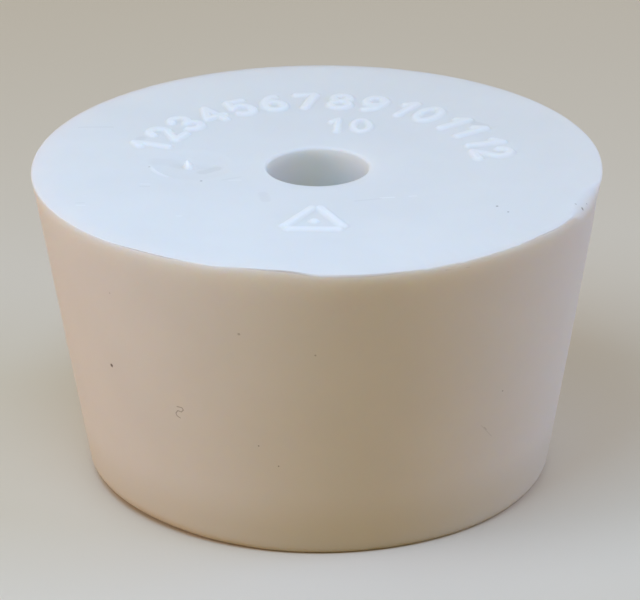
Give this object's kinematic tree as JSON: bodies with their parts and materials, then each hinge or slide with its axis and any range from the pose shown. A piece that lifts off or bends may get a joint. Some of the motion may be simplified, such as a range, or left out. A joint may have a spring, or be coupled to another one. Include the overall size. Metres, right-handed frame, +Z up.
{
  "type": "rubber stopper",
  "caption": "Tapered white rubber stopper with a straight bore down its axis, pressed into a vessel's neck to close it round a tube.",
  "frame": {"origin": "middle of the small end, on the surface that the stopper stands on", "axes": "+Z up the stopper's axis from the small end to the wide end; the gate mark lies towards -X"},
  "size_m": [0.0498, 0.0498, 0.028],
  "materials": {
    "white_rubber": "smooth moulded, satin"
  },
  "bodies": {
    "root": {"stopper": "white_rubber"}
  },
  "joints": []
}
